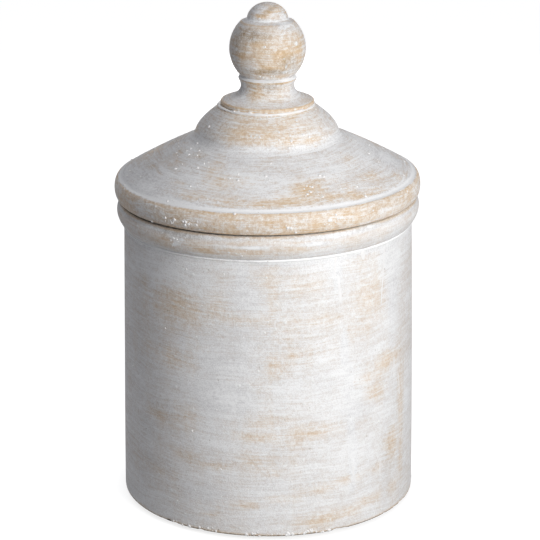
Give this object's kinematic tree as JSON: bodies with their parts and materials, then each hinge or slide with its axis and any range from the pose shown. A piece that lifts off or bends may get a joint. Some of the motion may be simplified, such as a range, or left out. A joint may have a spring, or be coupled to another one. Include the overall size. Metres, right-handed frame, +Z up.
{
  "type": "stoneware canister",
  "caption": "Round stoneware jar with a rolled rim and a drop-in conical lid topped by a dome and a ball finial, on felt pads.",
  "frame": {"origin": "centre of the base, on the surface that the felt pads stand on", "axes": "+Z up along the axis the pot is turned about, +Y to the back, so that -Y faces the picture's camera"},
  "size_m": [0.18, 0.18, 0.2979],
  "materials": {
    "jar_stoneware": "matte",
    "lid_stoneware": "matte",
    "finial_stoneware": "satin",
    "white_slip": "matte",
    "felt": "matte"
  },
  "bodies": {
    "jar": {"jar": "jar_stoneware", "felt_pad_1": "felt", "felt_pad_2": "felt", "felt_pad_3": "felt", "felt_pad_4": "felt"},
    "lid": {"lid": "lid_stoneware", "finial_bedding": "white_slip", "finial": "finial_stoneware"}
  },
  "joints": [
    {"name": "lid_lift", "type": "slide", "parent": "jar", "child": "lid", "axis": [0, 0, 1], "range_m": [0, 0.1]}
  ]
}
